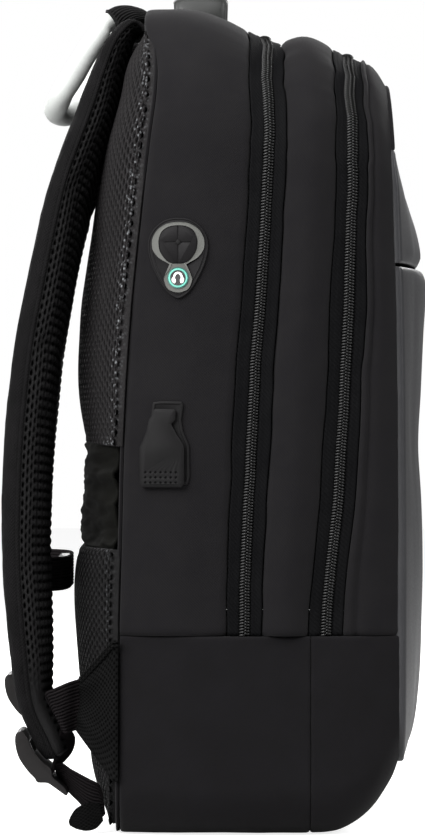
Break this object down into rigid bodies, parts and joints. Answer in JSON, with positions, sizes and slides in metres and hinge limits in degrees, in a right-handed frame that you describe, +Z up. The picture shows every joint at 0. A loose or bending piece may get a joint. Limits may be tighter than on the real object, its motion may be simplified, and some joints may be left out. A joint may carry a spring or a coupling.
{
  "type": "laptop backpack",
  "caption": "Standing laptop backpack with zipped compartments, satin front pocket, padded mesh back and straps, trolley band, carry handle, hanging loop and side cable ports.",
  "frame": {"origin": "middle of the whole object's footprint, on the surface that it stands on", "axes": "+Z up; the front faces -Y, the padded back with the shoulder straps faces +Y, and the cable ports are on the -X side"},
  "size_m": [0.3193, 0.2605, 0.4953],
  "materials": {
    "matte_cloth": "black plain-woven polyester, matte",
    "base_cloth": "black twill polyester, matte",
    "satin_cloth": "charcoal coated nylon with a satin sheen",
    "air_mesh": "black spacer mesh",
    "webbing": "black ribbed polyester webbing and zip tape",
    "zip_coil": "black nylon coil",
    "buckle_plastic": "dark grey moulded acetal, satin",
    "port_rubber": "dark grey moulded rubber",
    "ring_rubber": "mid grey moulded rubber",
    "badge_teal": "teal ring on a black disc",
    "white_satin": "silver-white coated cloth, satin",
    "handle_rubber": "dark grey smooth grip",
    "slider_metal": "gunmetal"
  },
  "bodies": {
    "root": {"back_panel": "matte_cloth", "rear_gusset": "matte_cloth", "middle_gusset": "matte_cloth", "front_gusset": "matte_cloth", "front_yoke": "matte_cloth", "luggage_band": "matte_cloth", "front_flap": "satin_cloth", "front_pocket": "satin_cloth", "lower_rear_wall": "base_cloth", "lower_front_wall": "base_cloth", "strap_wing_left": "base_cloth", "strap_wing_right": "base_cloth", "upper_back_pad": "air_mesh", "lower_back_pad": "air_mesh", "shoulder_strap_left": "air_mesh", "shoulder_strap_right": "air_mesh", "hang_loop_sleeve_left": "air_mesh", "hang_loop_sleeve_right": "air_mesh", "rear_zip_tape": "webbing", "front_zip_tape": "webbing", "strap_webbing_left": "webbing", "strap_webbing_right": "webbing", "strap_tail_left": "webbing", "strap_tail_right": "webbing", "chest_strap": "webbing", "rear_zip_chain": "zip_coil", "front_zip_chain": "zip_coil", "ladder_lock_left": "buckle_plastic", "ladder_lock_right": "buckle_plastic", "chest_clasp": "buckle_plastic", "hang_loop": "white_satin", "top_handle": "handle_rubber", "headphone_patch": "port_rubber", "usb_base": "port_rubber", "usb_cover": "port_rubber", "headphone_ring": "ring_rubber", "headphone_badge": "badge_teal", "rear_zip_slider": "slider_metal", "front_zip_slider": "slider_metal"}
  },
  "joints": []
}
